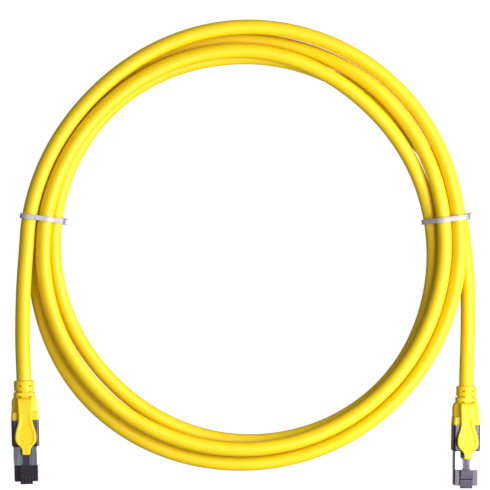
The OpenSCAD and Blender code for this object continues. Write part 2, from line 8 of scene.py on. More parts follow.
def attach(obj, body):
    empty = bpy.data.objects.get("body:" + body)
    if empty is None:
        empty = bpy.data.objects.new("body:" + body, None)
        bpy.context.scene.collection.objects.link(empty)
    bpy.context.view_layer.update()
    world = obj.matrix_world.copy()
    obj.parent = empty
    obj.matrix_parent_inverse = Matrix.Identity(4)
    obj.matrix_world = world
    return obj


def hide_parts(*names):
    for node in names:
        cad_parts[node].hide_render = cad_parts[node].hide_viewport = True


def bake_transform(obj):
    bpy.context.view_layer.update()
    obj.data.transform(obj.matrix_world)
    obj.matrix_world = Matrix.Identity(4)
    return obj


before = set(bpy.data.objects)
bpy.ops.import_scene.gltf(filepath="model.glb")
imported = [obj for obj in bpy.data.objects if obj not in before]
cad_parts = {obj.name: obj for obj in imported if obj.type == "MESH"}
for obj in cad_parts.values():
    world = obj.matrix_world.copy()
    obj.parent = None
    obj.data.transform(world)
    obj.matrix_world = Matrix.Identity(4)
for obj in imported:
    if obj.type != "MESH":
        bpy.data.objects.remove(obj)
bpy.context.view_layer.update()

# Shielded patch cable. Lengths in the dictionaries are millimetres, angles are degrees.
mm = 0.001
print("frame loaded:", len(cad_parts), "nodes")


# camera, lights and world

studio = {
    "cameraPlace": (-150.2, 94.2, 1600),
    "cameraAim": (-0.4, 94.2, 0),
    "lens": 236.13,
    "sensor": 36,
    "softboxPlace": (488, -4, 563),
    "softboxAim": (33, 38, 3),
    "softboxSide": 770,
    "softboxPower": 9.3,
    # the room's radiance from straight left (0) to straight right (1), and below the table
    "roomStops": [
        (0.1, (0.34, 0.34, 0.36)), (0.42, (0.2, 0.21, 0.25)),
        (0.5, (0.25, 0.26, 0.3)), (0.85, (0.97, 0.96, 1.0)),
    ],
    "roomBelow": (0.16, 0.14, 0.12, 1),
    "horizon": (-0.15, 0.05),
    "floorSide": 8000,
    "floorColour": (0.15, 0.15, 0.15, 1),
    "floorGlow": 0.96,
    "floorRoughness": 0.7,
}


def addObject(name, data):
    made = bpy.data.objects.new(name, data)
    bpy.context.collection.objects.link(made)
    return made


def aimed(name, data, place, aim):
    # its -Z looks at the aim, with +Y of the scene as up where it can be
    thing = addObject(name, data)
    back = (Vector(place) - Vector(aim)).normalized()
    side = Vector((0, 1, 0)).cross(back).normalized()
    turn = Matrix((side, back.cross(side), back)).transposed()
    thing.location = Vector(place) * mm
    thing.rotation_mode = "QUATERNION"
    thing.rotation_quaternion = turn.to_quaternion()
    return thing


cameraData = bpy.data.cameras.new("camera")
cameraData.sensor_width = studio["sensor"]
cameraData.lens = studio["lens"]
cameraData.clip_start = 0.01
bpy.context.scene.camera = aimed("camera", cameraData, studio["cameraPlace"], studio["cameraAim"])

softboxData = bpy.data.lights.new("softbox", "AREA")
softboxData.shape = "SQUARE"
softboxData.size = studio["softboxSide"] * mm
softboxData.energy = studio["softboxPower"]
aimed("softbox", softboxData, studio["softboxPlace"], studio["softboxAim"])


def feed(tree, socket, value):
    # the socket is set to a constant, or linked from another node's output
    if isinstance(value, bpy.types.NodeSocket):
        tree.links.new(value, socket)
    else:
        socket.default_value = value


def addNode(tree, kind, inputs=None, **settings):
    node = tree.nodes.new(kind)
    for label, value in settings.items():
        setattr(node, label, value)
    for label, value in (inputs or {}).items():
        feed(tree, node.inputs[label], value)
    return node


def rampOf(tree, source, stops, interpolation="LINEAR"):
    ramp = addNode(tree, "ShaderNodeValToRGB", {"Fac": source})
    ramp.color_ramp.interpolation = interpolation
    while len(ramp.color_ramp.elements) < len(stops):
        ramp.color_ramp.elements.new(0.5)
    for element, (place, colour) in zip(ramp.color_ramp.elements, stops):
        element.position = place
        element.color = (*colour, 1)
    return ramp.outputs["Color"]


def spanOf(tree, source, low, high, toLow=0.0, toHigh=1.0, **settings):
    span = addNode(tree, "ShaderNodeMapRange", {
        "Value": source, "From Min": low, "From Max": high, "To Min": toLow, "To Max": toHigh,
    }, **settings)
    return span.outputs["Result"]


def mixOf(tree, factor, *colours):
    mix = addNode(tree, "ShaderNodeMix", {"Factor": factor}, data_type="RGBA")
    for socket, colour in zip([i for i in mix.inputs if i.type == "RGBA"], colours):
        feed(tree, socket, colour)
    return [o for o in mix.outputs if o.type == "RGBA"][0]


def lightRoom():
    # a room that is darker on the left than on the right, and dark below the table
    world = bpy.data.worlds.new("studio")
    bpy.context.scene.world = world
    world.use_nodes = True
    tree = world.node_tree
    coords = addNode(tree, "ShaderNodeTexCoord")
    split = addNode(tree, "ShaderNodeSeparateXYZ", {"Vector": coords.outputs["Generated"]})
    above = spanOf(tree, split.outputs["Z"], *studio["horizon"])
    sideways = rampOf(tree, spanOf(tree, split.outputs["X"], -1, 1), studio["roomStops"])
    room = mixOf(tree, above, studio["roomBelow"], sideways)
    tree.links.new(room, tree.nodes["Background"].inputs["Color"])


lightRoom()
bpy.context.scene.view_settings.view_transform = "Standard"
print("camera and lights set")


# materials

def newFinish(name, roughness, metallic=0.0, ior=1.5, coat=0.0, alpha=1.0):
    finish = bpy.data.materials.new(name)
    finish.use_nodes = True
    shader = finish.node_tree.nodes["Principled BSDF"]
    for label, value in (
        ("Roughness", roughness), ("Metallic", metallic), ("IOR", ior),
        ("Coat Weight", coat), ("Coat Roughness", 0.15), ("Alpha", alpha),
    ):
        shader.inputs[label].default_value = value
    return finish, finish.node_tree, shader


def mathOf(tree, operation, *sources):
    return addNode(tree, "ShaderNodeMath", dict(enumerate(sources)), operation=operation).outputs["Value"]


def waveOf(tree, operation, source, pitch):
    turns = mathOf(tree, "MULTIPLY", source, 2 * math.pi / (pitch * mm))
    return mathOf(tree, operation, turns)


def noiseOf(tree, scale, detail=3.0, stretch=(1, 1, 1)):
    coords = addNode(tree, "ShaderNodeTexCoord")
    mapping = addNode(tree, "ShaderNodeMapping", {"Vector": coords.outputs["Object"], "Scale": stretch})
    noise = addNode(tree, "ShaderNodeTexNoise", {
        "Vector": mapping.outputs["Vector"], "Scale": scale, "Detail": detail,
    })
    return noise.outputs["Fac"]


def colourBy(tree, shader, source, darker, lighter, low=0.3, high=0.7):
    tree.links.new(rampOf(tree, source, [(low, darker), (high, lighter)]), shader.inputs["Base Color"])


def roughenBy(tree, shader, source, low, high):
    # most of a noise's values lie from 0.3 to 0.7
    tree.links.new(spanOf(tree, source, 0.3, 0.7, low, high), shader.inputs["Roughness"])


def bumpBy(tree, shader, source, height):
    bump = addNode(tree, "ShaderNodeBump", {"Height": source, "Distance": height * mm, "Strength": 1.0})
    before = shader.inputs["Normal"].links
    if before:
        tree.links.new(before[0].from_socket, bump.inputs["Normal"])
    tree.links.new(bump.outputs["Normal"], shader.inputs["Normal"])


def mouldedFinish(name, darker, lighter, roughness, grain):
    # plain moulded plastic: slight clouding of the colour, fine spark grain in the surface
    finish, tree, shader = newFinish(name, roughness)
    colourBy(tree, shader, noiseOf(tree, 90, 4), darker, lighter)
    fine = noiseOf(tree, 3500, 2)
    roughenBy(tree, shader, fine, roughness - 0.05, roughness + 0.06)
    bumpBy(tree, shader, fine, grain)
    return finish


def jacketFinish():
    # extruded jacket: long faint drawing lines, soft waves and a fine skin
    finish, tree, shader = newFinish("jacketYellow", 0.42)
    along = addNode(tree, "ShaderNodeAttribute", attribute_name="lengthway").outputs["Fac"]
    around = addNode(tree, "ShaderNodeAttribute", attribute_name="roundway").outputs["Fac"]
    turned = mathOf(tree, "MULTIPLY", around, 14)
    place = addNode(tree, "ShaderNodeCombineXYZ", {"X": turned, "Y": along}).outputs["Vector"]
    drawn = addNode(tree, "ShaderNodeTexNoise", {"Vector": place, "Scale": 6, "Detail": 3})
    clouds, skin = noiseOf(tree, 60, 3), noiseOf(tree, 2600, 2)
    colourBy(tree, shader, clouds, (0.86, 0.595, 0.0), (0.92, 0.645, 0.002), 0.25, 0.75)
    roughenBy(tree, shader, skin, 0.37, 0.47)
    for source, height in ((clouds, 0.12), (drawn.outputs["Fac"], 0.012), (skin, 0.006)):
        bumpBy(tree, shader, source, height)
    return finish


def metalFinish(name, darker, lighter, roughness, grainScale, stretch, height):
    finish, tree, shader = newFinish(name, roughness, metallic=1.0)
    grain = noiseOf(tree, grainScale, 4, stretch)
    colourBy(tree, shader, grain, darker, lighter)
    roughenBy(tree, shader, grain, roughness - 0.07, roughness + 0.1)
    bumpBy(tree, shader, grain, height)
    return finish


def nylonFinish():
    # natural nylon: milky, a little see-through, with soft internal clouding
    finish, tree, shader = newFinish("nylonClear", 0.32, ior=1.53, alpha=0.86)
    clouds = noiseOf(tree, 500, 3)
    colourBy(tree, shader, clouds, (0.54, 0.53, 0.57), (0.64, 0.63, 0.66))
    shader.inputs["Subsurface Weight"].default_value = 0.25
    shader.inputs["Subsurface Radius"].default_value = (1, 1, 1)
    shader.inputs["Subsurface Scale"].default_value = 0.8 * mm
    bumpBy(tree, shader, clouds, 0.02)
    return finish


def braidFinish():
    # fine wire braid: two sets of crossing waves
    finish, tree, shader = newFinish("tinnedBraid", 0.35, metallic=0.9)
    coords = addNode(tree, "ShaderNodeTexCoord")
    waves = []
    for lean in (35, -35):
        mapping = addNode(tree, "ShaderNodeMapping", {
            "Vector": coords.outputs["Object"], "Rotation": (0, 0, math.radians(lean)),
        })
        wave = addNode(tree, "ShaderNodeTexWave", {"Vector": mapping.outputs["Vector"], "Scale": 900})
        waves.append(wave.outputs["Fac"])
    both = mathOf(tree, "MAXIMUM", *waves)
    colourBy(tree, shader, both, (0.25, 0.2, 0.16), (0.7, 0.66, 0.6), 0.1, 0.9)
    bumpBy(tree, shader, both, 0.08)
    return finish


def plugCoords(tree, plug):
    # object coordinates turned with the plug, 0 where the cord leaves it
    coords = addNode(tree, "ShaderNodeTexCoord")
    mapping = addNode(tree, "ShaderNodeMapping", {
        "Vector": coords.outputs["Object"],
        "Location": (plug["exit"][0] * mm, plug["exit"][1] * mm, 0),
        "Rotation": (0, 0, math.radians(plug["turn"])),
    }, vector_type="TEXTURE")
    split = addNode(tree, "ShaderNodeSeparateXYZ", {"Vector": mapping.outputs["Vector"]})
    return split.outputs["X"], split.outputs["Y"]


def wireFinish(plug):
    # eight insulated wires, coloured by their place across the plug
    finish, tree, shader = newFinish("wireColours" + plug["mark"], 0.4)
    across, halfRow = plugCoords(tree, plug)[0], 4.08 * mm
    white, orange, blue = (0.8, 0.79, 0.75), (0.75, 0.26, 0.03), (0.03, 0.1, 0.42)
    green, brown = (0.04, 0.3, 0.08), (0.16, 0.07, 0.03)
    bands = [white, orange, white, blue, white, green, white, brown]
    stops = [(k / len(bands), c) for k, c in enumerate(bands)]
    colour = rampOf(tree, spanOf(tree, across, -halfRow, halfRow), stops, "CONSTANT")
    tree.links.new(colour, shader.inputs["Base Color"])
    bumpBy(tree, shader, noiseOf(tree, 2000, 2), 0.01)
    return finish


def smokyFinish(name, plug, roughness, coat, alpha=1.0):
    # smoky clear plastic, whose reflections are slightly lavender
    finish, tree, shader = newFinish(name + plug["mark"], roughness, ior=1.58, coat=coat, alpha=alpha)
    for label in ("Specular Tint", "Coat Tint"):
        shader.inputs[label].default_value = (0.86, 0.8, 1.0, 1)
    bumpBy(tree, shader, noiseOf(tree, 220, 3, (1, 0.25, 1)), 0.02)
    return finish, tree, shader, *plugCoords(tree, plug)


def latchFinish(plug):
    # a dark root with paler gaps between its ribs, and a thin arm that is see-through
    finish, tree, shader, across, back = smokyFinish("smokeLatch", plug, 0.18, 0.3)
    latchEnd, ribPitch = 16, 1.6
    along = spanOf(tree, back, -plugLength * mm, (latchEnd - plugLength) * mm)
    tone = rampOf(tree, along, [
        (0.2, (0.012, 0.009, 0.012)), (0.24, (0.02, 0.016, 0.02)),
        (0.47, (0.022, 0.017, 0.024)), (0.54, (0.06, 0.048, 0.07)),
    ])
    clear = rampOf(tree, along, [(0.47, (0.97,) * 3), (0.54, (0.62,) * 3)])
    gaps = rampOf(tree, waveOf(tree, "COSINE", across, ribPitch), [(0.35, (0, 0, 0)), (0.6, (1, 1, 1))])
    rootOnly = rampOf(tree, along, [(0.18, (1, 1, 1)), (0.22, (0, 0, 0))])
    shown = mathOf(tree, "MULTIPLY", gaps, rootOnly)
    tree.links.new(mixOf(tree, shown, tone, (0.075, 0.07, 0.075, 1)), shader.inputs["Base Color"])
    tree.links.new(clear, shader.inputs["Alpha"])
    return finish


def noseFinish(plug):
    # the eight wires show faintly through it
    finish, tree, shader, across, _ = smokyFinish("smokeNose", plug, 0.16, 0.6, 0.985)
    wirePitch = 1.02
    wave = waveOf(tree, "SINE", across, wirePitch)
    colourBy(tree, shader, wave, (0.01, 0.007, 0.013), (0.028, 0.022, 0.036), 0, 1)
    return finish


def collarFinish(plug):
    # darkest at its solid front lip and in its side walls: partly the thicker plastic there, partly painted
    # shade on these edges
    finish, tree, shader, across, back = smokyFinish("smokeCollar", plug, 0.14, 0.6, 0.9)
    collarFront = 17.2 - plugLength
    # mask of the front lip, whose near-black is partly painted shade
    lip = spanOf(
        tree, back, (collarFront + 0.9) * mm, (collarFront + 1.5) * mm, interpolation_type="SMOOTHSTEP"
    )
    sideways = mathOf(tree, "ABSOLUTE", across)
    thickWallAndPaintedShade = spanOf(tree, sideways, 6.2 * mm, 5.4 * mm, interpolation_type="SMOOTHSTEP")
    both = mathOf(tree, "MULTIPLY", lip, thickWallAndPaintedShade)
    # the near-black colour at the lip and the side walls is partly painted shade
    colourBy(tree, shader, both, (0.012, 0.009, 0.008), (0.13, 0.1, 0.09), 0, 1)
    return finish


jacketYellow = jacketFinish()
bootYellow = mouldedFinish("bootYellow", (0.86, 0.595, 0.0), (0.91, 0.635, 0.002), 0.42, 0.012)
# darker and lighter colour, roughness, then the grain's scale, stretch and height
nickel, gold, ferruleSteel, foilBright = (metalFinish(*row) for row in (
    ("nickelSheet", (0.5, 0.52, 0.57), (0.66, 0.68, 0.73), 0.17, 900, (1, 0.06, 1), 0.006),
    ("goldBlade", (0.78, 0.5, 0.16), (0.92, 0.64, 0.24), 0.25, 1500, (1, 1, 1), 0.004),
    ("ferruleSteel", (0.48, 0.48, 0.5), (0.62, 0.62, 0.64), 0.33, 700, (0.1, 1, 1), 0.01),
    ("foilBright", (0.6, 0.6, 0.62), (0.85, 0.85, 0.87), 0.24, 700, (1, 0.4, 1), 0.08),
))
nylonClear = nylonFinish()
managerWhite = mouldedFinish("managerWhite", (0.6, 0.6, 0.57), (0.74, 0.74, 0.7), 0.5, 0.01)
braidTinned = braidFinish()
print("materials made")


# shared shapes

plugs = [
    {"letter": "a", "mark": "A", "exit": (-110.84, 27.05), "turn": 1.5},
    {"letter": "b", "mark": "B", "exit": (110.64, 23.44), "turn": -0.75},
]
plugLength = 49.8
axisHeight = 5.0


def plugPlace(plug):
    # from a plug's own millimetres to the scene: y runs back from the nose's face
    return (
        Matrix.Scale(mm, 4)
        @ Matrix.Translation((*plug["exit"], 0))
        @ Matrix.Rotation(math.radians(plug["turn"]), 4, "Z")
        @ Matrix.Translation((0, -plugLength, 0))
    )


def newPiece(name, points, faces, finish, place=Matrix.Scale(mm, 4), sharp=35):
    mesh = bpy.data.meshes.new(name)
    mesh.from_pydata([tuple(place @ Vector(p)) for p in points], [], faces)
    tidyMesh(mesh, sharp)
    mesh.materials.append(finish)
    return addObject(name, mesh)


def tidyMesh(mesh, sharp):
    work = bmesh.new()
    work.from_mesh(mesh)
    bmesh.ops.remove_doubles(work, verts=work.verts, dist=0.0005 * mm)
    bmesh.ops.recalc_face_normals(work, faces=work.faces)
    for face in work.faces:
        face.smooth = True
    for edge in work.edges:
        edge.smooth = len(edge.link_faces) != 2 or edge.calc_face_angle() < math.radians(sharp)
    work.to_mesh(mesh)
    work.free()


def finished(piece):
    # the piece with its modifiers applied, as one plain mesh
    shape = bpy.data.meshes.new_from_object(piece.evaluated_get(bpy.context.evaluated_depsgraph_get()))
    name, old = piece.name, piece.data
    shape.name = name
    bpy.data.objects.remove(piece)
    if isinstance(old, bpy.types.Mesh):
        bpy.data.meshes.remove(old)
    return addObject(name, shape)


def flattened(piece):
    # normals that keep the broad faces flat between their rounded edges
    piece.modifiers.new("flatFaces", "WEIGHTED_NORMAL").keep_sharp = True
    return finished(piece)


def softened(piece, width):
    bevel = piece.modifiers.new("softEdges", "BEVEL")
    bevel.width = width * mm
    bevel.segments = 2
    bevel.limit_method = "ANGLE"
    bevel.angle_limit = math.radians(30)
    bevel.harden_normals = True
    return finished(piece)


def loft(rings, closedLoop=False):
    # points and faces of a skin through rings of equal count, with flat ends unless it is a closed loop
    count = len(rings[0])
    points = [p for ring in rings for p in ring]
    faces = []
    for i in range(len(rings) if closedLoop else len(rings) - 1):
        a, b = i * count, ((i + 1) % len(rings)) * count
        for k in range(count):
            n = (k + 1) % count
            faces.append((a + k, a + n, b + n, b + k))
    if not closedLoop:
        faces.append(tuple(range(count)))
        faces.append(tuple(len(points) - count + k for k in range(count)))
    return points, faces


def joinSkin(points, faces, skin):
    more, moreFaces = skin
    faces += [tuple(i + len(points) for i in face) for face in moreFaces]
    points += more


def roundedOutline(corners, radius, steps=6):
    # a polygon with its corners rounded off by an arc
    outline = []
    for k, here in enumerate(corners):
        here = Vector(here)
        toBefore = Vector(corners[k - 1]) - here
        toAfter = Vector(corners[(k + 1) % len(corners)]) - here
        half = toBefore.angle(toAfter) / 2
        # an arc takes less than half of each side
        reach = min(radius / math.tan(half), 0.48 * toBefore.length, 0.48 * toAfter.length)
        r = reach * math.tan(half)
        a, b = toBefore.normalized(), toAfter.normalized()
        centre = here + (a + b).normalized() * (r / math.sin(half))
        start, end = here + a * reach - centre, here + b * reach - centre
        outline += [centre + start.lerp(end, k / steps).normalized() * r for k in range(steps + 1)]
    return outline


def boxOutline(width, low, high, radius):
    half = width / 2
    return roundedOutline([(half, low), (half, high), (-half, high), (-half, low)], radius)


def reachOf(outline):
    # distance from the plug's axis to an outline, at an angle from straight up
    shifted = [Vector((p[0], p[1] - axisHeight)) for p in outline]

    def reach(angle):
        ray = Vector((math.sin(angle), math.cos(angle)))
        far = 0
        for k, a in enumerate(shifted):
            b = shifted[(k + 1) % len(shifted)]
            edge = b - a
            across = ray.x * edge.y - ray.y * edge.x
            if abs(across) < 1e-12:
                continue
            along = (a.x * edge.y - a.y * edge.x) / across
            t = (a.x * ray.y - a.y * ray.x) / across
            if along > 0 and -1e-9 <= t <= 1 + 1e-9:
                far = max(far, along)
        return far

    return reach


def circleReach(radius):
    return lambda angle: radius


def larger(*reaches):
    return lambda angle: max(r(angle) for r in reaches)


def anglesOf(*outlines, step=5, more=()):
    # angles from straight up of all the outlines' corners, with even ones between them
    closest = 0.15
    found = [step * k for k in range(360 // step)] + list(more)
    for outline in outlines:
        found += [math.degrees(math.atan2(x, z - axisHeight)) % 360 for x, z in outline]
    kept = []
    for angle in sorted(found):
        if not kept or angle - kept[-1] > closest:
            kept.append(angle)
    return [math.radians(a) for a in kept]


def ringAt(y, reach, angles, inset=0.0):
    ring = []
    for angle in angles:
        r = reach(angle) - inset
        ring.append((r * math.sin(angle), y, axisHeight + r * math.cos(angle)))
    return ring


def segmentRings(y0, y1, reach, angles, front=0.0, rear=0.0, steps=3):
    # rings along a straight stretch whose ends are rounded over by the front and rear radius
    turns = [math.pi / 2 * k / steps for k in range(steps + 1)]
    stops = [(y0 + front * (1 - math.cos(a)), front * (1 - math.sin(a))) for a in turns[:-1] if front]
    stops += [(y0 + front, 0), (y1 - rear, 0)]
    stops += [(y1 - rear * (1 - math.sin(a)), rear * (1 - math.cos(a))) for a in turns[1:] if rear]
    return [ringAt(y, reach, angles, inset) for y, inset in stops]


def newTree(name, inputs):
    tree = bpy.data.node_groups.new(name, "GeometryNodeTree")
    tree.interface.new_socket("Geometry", in_out="OUTPUT", socket_type="NodeSocketGeometry")
    tree.interface.new_socket("Geometry", in_out="INPUT", socket_type="NodeSocketGeometry")
    for label, kind, value in inputs:
        socket = tree.interface.new_socket(label, in_out="INPUT", socket_type=kind)
        if value is not None:
            socket.default_value = value
    return tree, tree.nodes.new("NodeGroupInput"), tree.nodes.new("NodeGroupOutput")


def endTree(tree, source, entry, exitNode):
    # every tree ends by making instances real and setting the material
    real = addNode(tree, "GeometryNodeRealizeInstances", {"Geometry": source})
    painted = addNode(tree, "GeometryNodeSetMaterial", {
        "Geometry": real.outputs["Geometry"], "Material": entry.outputs["Finish"],
    })
    tree.links.new(painted.outputs["Geometry"], exitNode.inputs["Geometry"])


def useTree(piece, tree, values):
    modifier = piece.modifiers.new(tree.name, "NODES")
    modifier.node_group = tree
    for socket in tree.interface.items_tree:
        if socket.in_out == "INPUT" and socket.name in values:
            modifier[socket.identifier] = values[socket.name]
    return finished(piece)


def polyCurve(name, points):
    data = bpy.data.curves.new(name, "CURVE")
    data.dimensions = "3D"
    line = data.splines.new("POLY")
    line.points.add(len(points) - 1)
    for point, place in zip(line.points, points):
        point.co = (*(Vector(place) * mm), 1)
    return addObject(name, data)


# the cord: two free ends and a coil of three and a half turns

cord = {
    "diameter": 7.3,
    "sides": 32,
    "pointStep": 2.0,
    "insideBoot": 3.0,
    # outside the outermost lane, y and height: the first is a scratch program's output, shifted by
    # about 0.2 and partly changed by hand
    "tailA": [
        (2.44, 27.05, 5), (2.68, 33.9, 5), (2.97, 40.9, 5.5), (3.16, 47.9, 7.1), (3.21, 54.9, 9.3),
        (3.13, 62.4, 11.3), (2.9, 70.9, 12.5), (2.45, 79.3, 12.7), (1.9, 86.6, 12.7),
    ],
    "tailB": [
        (2.64, 23.44, 5), (2.8, 30.9, 5), (3.07, 37.9, 4.8), (3.4, 45.9, 4.4), (3.6, 53.9, 4.2),
        (3.62, 62.4, 4.4), (3.45, 70.9, 4.8), (3.05, 79.3, 4.95), (2.5, 86.6, 4.95),
    ],
    "coilCentre": (-0.2, 93.9),
    "coilRadius": 108.2,
    "strandPitch": 7.8,
    "fromAngle": -90,
    "toAngle": 1170,
    "angleStep": 5,
    "stationStep": 45,
    "laneBefore": -0.4,
    # 18 of these 29 are a least-squares fit's own output, and the others were changed after it
    "lanes": [
        -0.17, 0.19,
        -0.05, -0.03, 0.27, 0.14, -0.06, -0.19, 0.38, 0.57,
        0.77, 0.93, 1.22, 1.12, 0.92, 0.66, 0.87, 1.25,
        1.48, 2.07, 1.79, 1.24, 1.35, 1.66, 1.57, 1.57,
        1.81, 1.5, -0.2,
    ],
    "layers": [
        1, 1,
        1, 1, 1, 0.5, 0, 0, 0, 0,
        0, 1, 1, 1, 1, 1, 1, 1,
        1, 1, 0, 0, 0, 0, 0, 0,
        0, 0, 0,
    ],
    "tieAngles": (-82.5, 82.5),
    "tieRaise": 1.4,
    "raiseFlat": 10,
    "raiseEase": 25,
}


def splineValue(a, b, c, d, t):
    # on the smooth curve through b and c, between a and d
    return 0.5 * (
        2 * b + (c - a) * t + (2 * a - 5 * b + 4 * c - d) * t * t + (3 * b - a - 3 * c + d) * t * t * t
    )


def strandPlace(angle):
    # distance from the coil's centre and height, at an angle that grows clockwise from +Y
    lanes, layers = cord["lanes"], cord["layers"]
    station = (angle - cord["fromAngle"]) / cord["stationStep"]
    k = min(int(station), len(lanes) - 2)
    t = station - k
    before = lanes[k - 1] if k else cord["laneBefore"]
    lane = splineValue(before, lanes[k], lanes[k + 1], lanes[min(k + 2, len(lanes) - 1)], t)
    layer = layers[k] + (layers[k + 1] - layers[k]) * (1 - math.cos(math.pi * t)) / 2
    away = min(abs((angle - tie + 180) % 360 - 180) for tie in cord["tieAngles"])
    eased = max(0, min(1, (away - cord["raiseFlat"]) / cord["raiseEase"]))
    lift = cord["tieRaise"] * (1 + math.cos(math.pi * eased)) / 2
    return (
        cord["coilRadius"] - lane * cord["strandPitch"],
        cord["diameter"] / 2 + layer * cord["strandPitch"] + lift,
    )


def coilPoint(angle):
    distance, height = strandPlace(angle)
    a, (x, y) = math.radians(angle), cord["coilCentre"]
    return (x + distance * math.sin(a), y + distance * math.cos(a), height)


def evenly(points, step):
    # the smooth curve through the points, with a point at every step of its length
    dense, pieces = [], 16
    for k in range(len(points) - 1):
        a, b = points[max(k - 1, 0)], points[k]
        c, d = points[k + 1], points[min(k + 2, len(points) - 1)]
        for s in range(pieces):
            dense.append(Vector([splineValue(a[i], b[i], c[i], d[i], s / pieces) for i in range(3)]))
    dense.append(Vector(points[-1]))
    out, left = [dense[0]], step
    for a, b in zip(dense, dense[1:]):
        length = (b - a).length
        while left <= length:
            out.append(a.lerp(b, left / length))
            left += step
        left -= length
    tooShort = 0.3 * step
    if (out[-1] - dense[-1]).length > tooShort:
        out.append(dense[-1])
    return out


def tailPoints(steps, side):
    reach = cord["coilRadius"]
    return [(cord["coilCentre"][0] + side * (reach + out), y, z) for out, y, z in steps]


def insideBoot(plug):
    back, turn, (x, y) = cord["insideBoot"], math.radians(plug["turn"]), plug["exit"]
    return (x + back * math.sin(turn), y - back * math.cos(turn), axisHeight)


def jacketTree():
    tree, entry, end = newTree("jacketTube", [
        ("Radius", "NodeSocketFloat", 3.65 * mm),
        ("Sides", "NodeSocketInt", 32),
        ("Finish", "NodeSocketMaterial", None),
    ])
    upright = addNode(tree, "GeometryNodeSetCurveNormal", {"Curve": entry.outputs["Geometry"]}, mode="Z_UP")
    circle = addNode(tree, "GeometryNodeCurvePrimitiveCircle", {
        "Resolution": entry.outputs["Sides"], "Radius": entry.outputs["Radius"],
    })
    marked = []
    for name, curve, measure in (("lengthway", upright, "Length"), ("roundway", circle, "Factor")):
        spline = addNode(tree, "GeometryNodeSplineParameter")
        store = addNode(tree, "GeometryNodeStoreNamedAttribute", {
            "Name": name, "Geometry": curve.outputs["Curve"], "Value": spline.outputs[measure],
        }, data_type="FLOAT", domain="POINT")
        marked.append(store.outputs["Geometry"])
    tube = addNode(tree, "GeometryNodeCurveToMesh", {
        "Curve": marked[0], "Profile Curve": marked[1], "Fill Caps": True,
    })
    smooth = addNode(tree, "GeometryNodeSetShadeSmooth", {"Geometry": tube.outputs["Mesh"]})
    endTree(tree, smooth.outputs["Geometry"], entry, end)
    return tree


coilAngles = range(cord["fromAngle"], cord["toAngle"] + 1, cord["angleStep"])
cordStations = (
    [insideBoot(plugs[0])] + tailPoints(cord["tailA"], -1)
    + [coilPoint(a) for a in coilAngles]
    + tailPoints(cord["tailB"], 1)[::-1] + [insideBoot(plugs[1])]
)
cordRoute = evenly(cordStations, cord["pointStep"])
cordLength = sum((b - a).length for a, b in zip(cordRoute, cordRoute[1:]))
cable = useTree(polyCurve("cableJacket", cordRoute), jacketTree(), {
    "Radius": cord["diameter"] / 2 * mm, "Sides": cord["sides"], "Finish": jacketYellow,
})
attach(cable, "base")
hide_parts("cable_tail_a", "cable_coil", "cable_tail_b")
print("cord made:", round(cordLength), "mm")


# cable ties

tie = {
    "width": 2.5,
    "thickness": 1.0,
    "clear": 0.12,
    "edge": 0.22,
    "step": 0.6,
    "arcSteps": 64,
    "toothPitch": 0.9,
    "toothSize": (1.3, 0.35, 0.22),
    "headLength": 4.4,
    "headDepth": 1.7,
    "headWidth": 3.6,
    "headEdge": 0.45,
    # height of the left (-1) and right (1) tie's head
    "headHeights": {-1: 2.7, 1: 4.6},
    # the strap's cut end that stands out of the head
    "stubAbove": 0.9,
    "stubBelow": 0.3,
    "stubInset": 1.4,
    "stubEdge": 0.15,
}


def hullOf(points):
    # the convex line round the points
    points = sorted((round(x, 6), round(y, 6)) for x, y in points)

    def bend(a, b, c):
        return (b[0] - a[0]) * (c[1] - a[1]) - (b[1] - a[1]) * (c[0] - a[0])

    def half(run):
        out = []
        for p in run:
            while len(out) > 1 and bend(*out[-2:], p) <= 0:
                out.pop()
            out.append(p)
        return out[:-1]

    return half(points) + half(points[::-1])


def bandOutline(angle, grow):
    # closed line round the strands that a tie holds, in the tie's own plane
    held = [strandPlace(angle + 360 * k) for k in range(4) if angle + 360 * k <= cord["toAngle"]]
    r, steps = cord["diameter"] / 2 + grow, tie["arcSteps"]
    turns = [2 * math.pi * k / steps for k in range(steps)]
    return hullOf([(x + r * math.cos(a), z + r * math.sin(a)) for x, z in held for a in turns])


def spacedLine(outline, step):
    # points at even distances along a closed line
    closed = [Vector((*p, 0)) for p in outline + outline[:1]]
    total = sum((b - a).length for a, b in zip(closed, closed[1:]))
    count = round(total / step)
    out, left = [], 0.0
    for a, b in zip(closed, closed[1:]):
        length = (b - a).length
        while left < length - 1e-9 and len(out) < count:
            out.append(a.lerp(b, left / length))
            left += total / count
        left -= length
    return out


def tiePlace(angle):
    # x runs outwards from the coil's centre, y up and z along the cable
    a = math.radians(angle)
    out, up = Vector((math.sin(a), math.cos(a), 0)), Vector((0, 0, 1))
    turn = Matrix((out, up, out.cross(up))).transposed().to_4x4()
    return Matrix.Scale(mm, 4) @ Matrix.Translation((*cord["coilCentre"], 0)) @ turn


def toothTree():
    # small ratchet teeth set along a line of points, each turned to the strap
    tree, entry, end = newTree("strapTeeth", [
        ("Size", "NodeSocketVector", (1.3 * mm, 0.35 * mm, 0.22 * mm)),
        ("Finish", "NodeSocketMaterial", None),
    ])
    cube = addNode(tree, "GeometryNodeMeshCube", {"Size": entry.outputs["Size"]})
    turn = addNode(tree, "GeometryNodeInputNamedAttribute", {"Name": "toothTurn"}, data_type="FLOAT_VECTOR")
    asRotation = addNode(tree, "FunctionNodeEulerToRotation", {"Euler": turn.outputs["Attribute"]})
    put = addNode(tree, "GeometryNodeInstanceOnPoints", {
        "Points": entry.outputs["Geometry"],
        "Instance": cube.outputs["Mesh"],
        "Rotation": asRotation.outputs["Rotation"],
    })
    endTree(tree, put.outputs["Instances"], entry, end)
    return tree


